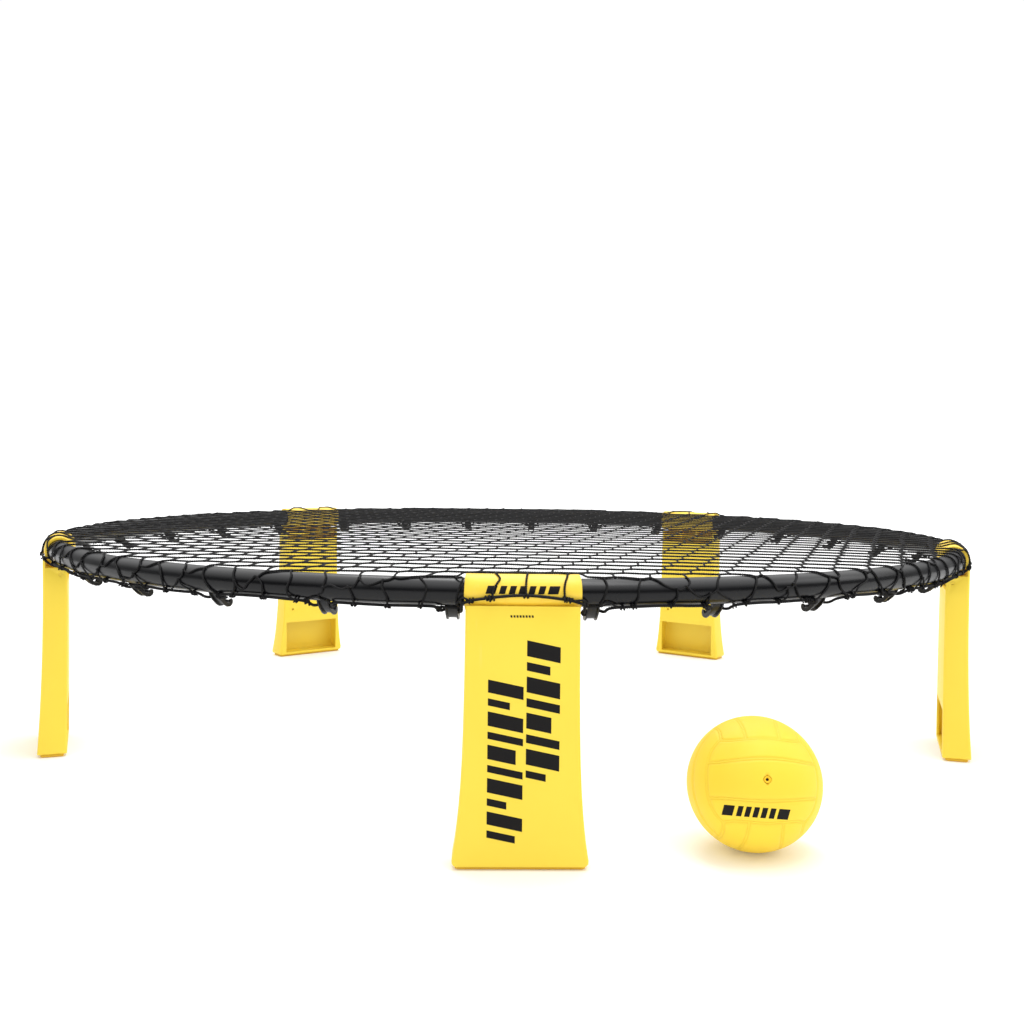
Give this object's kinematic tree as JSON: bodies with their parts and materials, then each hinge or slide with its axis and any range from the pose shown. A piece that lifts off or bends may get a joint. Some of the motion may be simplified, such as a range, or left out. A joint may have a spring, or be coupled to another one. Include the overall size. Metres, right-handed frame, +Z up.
{
  "type": "roundnet set",
  "caption": "Low round net stretched over a tubular rim on folding legs, with a small inflatable rubber ball beside it.",
  "frame": {"origin": "on the ground at the bottom centre of the bounding box, 5.5 mm in front of the rim's axis", "axes": "+Z up; -Y towards the leg that faces the viewer; +X to the viewer's right; the ball lies at +X, -Y"},
  "size_m": [0.9368, 0.9476, 0.2069],
  "materials": {
    "rim_plastic": "satin",
    "leg_plastic": "satin",
    "collar_plastic": "satin",
    "pad_rubber": "matte",
    "pin_plastic": "satin",
    "net_fabric": "matte",
    "edge_fabric": "matte",
    "ball_rubber": "matte",
    "valve_rubber": "matte"
  },
  "bodies": {
    "frame": {"rim_segment_1": "rim_plastic", "rim_segment_2": "rim_plastic", "rim_segment_3": "rim_plastic", "rim_segment_4": "rim_plastic", "rim_segment_5": "rim_plastic", "leg_collar_1": "collar_plastic", "leg_collar_2": "collar_plastic", "leg_collar_3": "collar_plastic", "leg_collar_4": "collar_plastic", "leg_collar_5": "collar_plastic", "net_border": "net_fabric", "net_wrap": "net_fabric", "net_edge_cord": "edge_fabric"},
    "folding_leg_1": {"leg_1": "leg_plastic", "foot_pad_1": "pad_rubber", "hinge_pin_1": "pin_plastic"},
    "folding_leg_2": {"leg_2": "leg_plastic", "foot_pad_2": "pad_rubber", "hinge_pin_2": "pin_plastic"},
    "folding_leg_3": {"leg_3": "leg_plastic", "foot_pad_3": "pad_rubber", "hinge_pin_3": "pin_plastic"},
    "folding_leg_4": {"leg_4": "leg_plastic", "foot_pad_4": "pad_rubber", "hinge_pin_4": "pin_plastic"},
    "folding_leg_5": {"leg_5": "leg_plastic", "foot_pad_5": "pad_rubber", "hinge_pin_5": "pin_plastic"},
    "net_panel": {"net_centre": "net_fabric"},
    "ball": {"ball_skin": "ball_rubber", "ball_valve": "valve_rubber"}
  },
  "joints": [
    {"name": "leg_1_fold", "type": "hinge", "parent": "frame", "child": "folding_leg_1", "pos_m": [0, -0.44905, 0.1703], "axis": [1, 0, 0], "range_deg": [0, 90]},
    {"name": "leg_2_fold", "type": "hinge", "parent": "frame", "child": "folding_leg_2", "pos_m": [0.43226, -0.135, 0.1703], "axis": [0.309, 0.9511, 0], "range_deg": [0, 90]},
    {"name": "leg_3_fold", "type": "hinge", "parent": "frame", "child": "folding_leg_3", "pos_m": [0.26715, 0.37315, 0.1703], "axis": [-0.809, 0.5878, 0], "range_deg": [0, 90]},
    {"name": "leg_4_fold", "type": "hinge", "parent": "frame", "child": "folding_leg_4", "pos_m": [-0.26715, 0.37315, 0.1703], "axis": [-0.809, -0.5878, 0], "range_deg": [0, 90]},
    {"name": "leg_5_fold", "type": "hinge", "parent": "frame", "child": "folding_leg_5", "pos_m": [-0.43226, -0.135, 0.1703], "axis": [0.309, -0.9511, 0], "range_deg": [0, 90]},
    {"name": "net_bounce", "type": "slide", "parent": "frame", "child": "net_panel", "axis": [0, 0, -1], "range_m": [0, 0.03], "stiffness_N_per_m": 800},
    {"name": "ball_lift", "type": "slide", "parent": "frame", "child": "ball", "axis": [0.2642, -0.6559, 0.7071], "range_m": [0, 0.3]}
  ]
}
